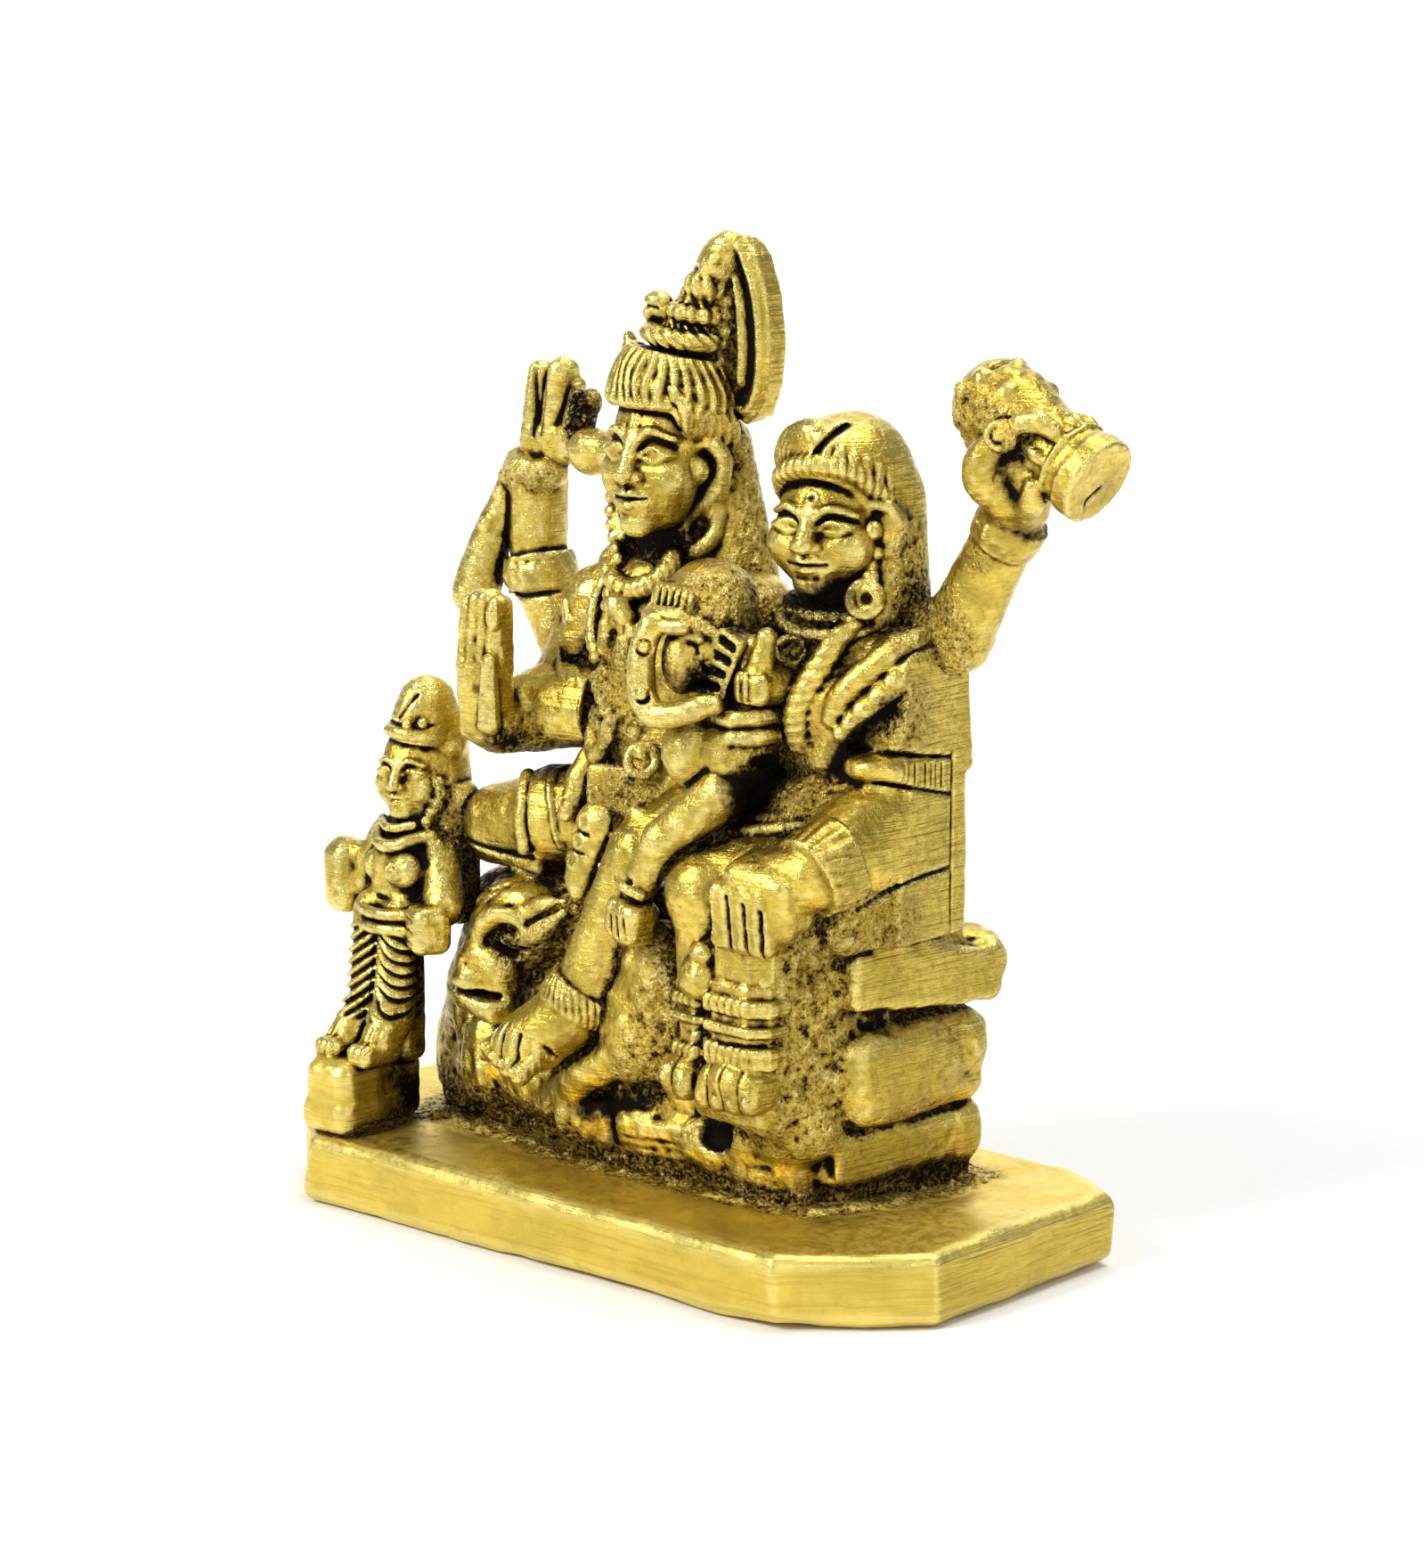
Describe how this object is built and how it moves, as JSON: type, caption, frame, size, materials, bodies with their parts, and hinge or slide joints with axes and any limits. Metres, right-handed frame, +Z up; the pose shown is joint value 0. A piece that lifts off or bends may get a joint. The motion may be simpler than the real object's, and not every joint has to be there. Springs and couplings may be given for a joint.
{
  "type": "cast brass seated family figurine",
  "caption": "Small cast brass figurine on a chamfered plate: a four-armed seated figure with a drum, a consort, an elephant-headed child, a bull and an attendant.",
  "frame": {"origin": "centre of the base plate's underside", "axes": "+Z up, figures face -Y, +X to the right of someone who faces the figures"},
  "size_m": [0.0839, 0.039, 0.0901],
  "materials": {
    "filed_brass": "filed and brushed satin brass",
    "carved_brass": "hand-chased brass, worn bright on top, dark patina in the recesses",
    "rough_brass": "rough as-cast brass with dark patina"
  },
  "bodies": {
    "root": {"attendant_body": "carved_brass", "attendant_crown": "carved_brass", "attendant_head": "carved_brass", "attendant_legs": "carved_brass", "attendant_plinth": "filed_brass", "base_plate": "filed_brass", "bull_body": "carved_brass", "bull_foreleg": "carved_brass", "bull_head": "carved_brass", "bull_muzzle": "carved_brass", "child_body": "carved_brass", "child_ear": "carved_brass", "child_head": "carved_brass", "child_leg": "carved_brass", "child_trunk": "carved_brass", "consort_armband": "carved_brass", "consort_head": "carved_brass", "consort_headband": "carved_brass", "consort_lap": "carved_brass", "consort_left_foot": "carved_brass", "consort_left_forearm": "carved_brass", "consort_left_hand": "carved_brass", "consort_left_shin": "carved_brass", "consort_right_foot": "carved_brass", "consort_right_hand": "carved_brass", "consort_right_shin": "carved_brass", "consort_side_panel": "carved_brass", "consort_torso": "carved_brass", "consort_upper_arm": "carved_brass", "consort_veil": "carved_brass", "crown_loop": "carved_brass", "damaru_drum": "carved_brass", "drum_hand": "carved_brass", "leader_crown": "carved_brass", "leader_front_right_arm": "carved_brass", "leader_hair": "carved_brass", "leader_head": "carved_brass", "leader_left_earring": "carved_brass", "leader_left_foot": "carved_brass", "leader_left_shin": "carved_brass", "leader_raised_palm": "carved_brass", "leader_rear_left_arm": "carved_brass", "leader_rear_right_arm": "carved_brass", "leader_right_earring": "carved_brass", "leader_right_leg": "carved_brass", "leader_torso": "carved_brass", "medallion_sash": "carved_brass", "rock_boulder": "rough_brass", "rock_ledge": "rough_brass", "rock_lower_slab": "rough_brass", "rock_seat": "rough_brass", "rock_top_slab": "rough_brass", "trident_head": "carved_brass", "trident_shaft": "carved_brass"}
  },
  "joints": []
}
